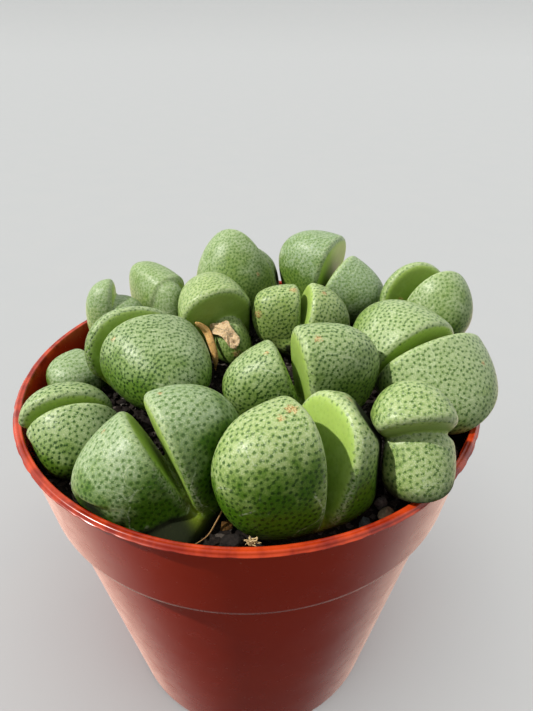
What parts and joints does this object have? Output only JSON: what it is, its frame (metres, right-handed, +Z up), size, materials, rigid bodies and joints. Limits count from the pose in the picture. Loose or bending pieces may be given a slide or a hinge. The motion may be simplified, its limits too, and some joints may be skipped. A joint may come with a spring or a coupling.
{
  "type": "potted split rock",
  "caption": "Split rock succulents, pairs of fat speckled grey-green leaves, crowded in a terracotta-red plastic nursery pot with dark soil.",
  "frame": {"origin": "centre of the pot's flat bottom, which stands on the floor", "axes": "+Z up along the pot's axis, -Y towards the front, +X to the right seen from the front"},
  "size_m": [0.1095, 0.105, 0.1146],
  "materials": {
    "pot_plastic": "satin gloss",
    "leaf_skin": "satin, waxy bloom, speckled with dark green dots",
    "soil": "matte, crumbly",
    "pebble": "matte",
    "dry_leaf": "matte, papery",
    "root": "matte"
  },
  "bodies": {
    "root": {"pot": "pot_plastic", "soil": "soil", "head_front": "leaf_skin", "head_front_left": "leaf_skin", "head_left": "leaf_skin", "head_left_middle": "leaf_skin", "head_left_edge": "leaf_skin", "head_front_right": "leaf_skin", "head_right": "leaf_skin", "head_centre": "leaf_skin", "head_middle": "leaf_skin", "head_back": "leaf_skin", "head_with_dry_flower": "leaf_skin", "head_back_left": "leaf_skin", "head_back_left_inner": "leaf_skin", "head_back_right_inner": "leaf_skin", "head_back_right": "leaf_skin", "pebble_grey": "pebble", "pebble_tan": "pebble", "pebble_slate": "pebble", "soil_clod": "soil", "leaf_scrap": "dry_leaf", "dried_flower": "dry_leaf", "dried_sheath": "dry_leaf", "root_fibre": "root", "root_tuft": "root"}
  },
  "joints": []
}
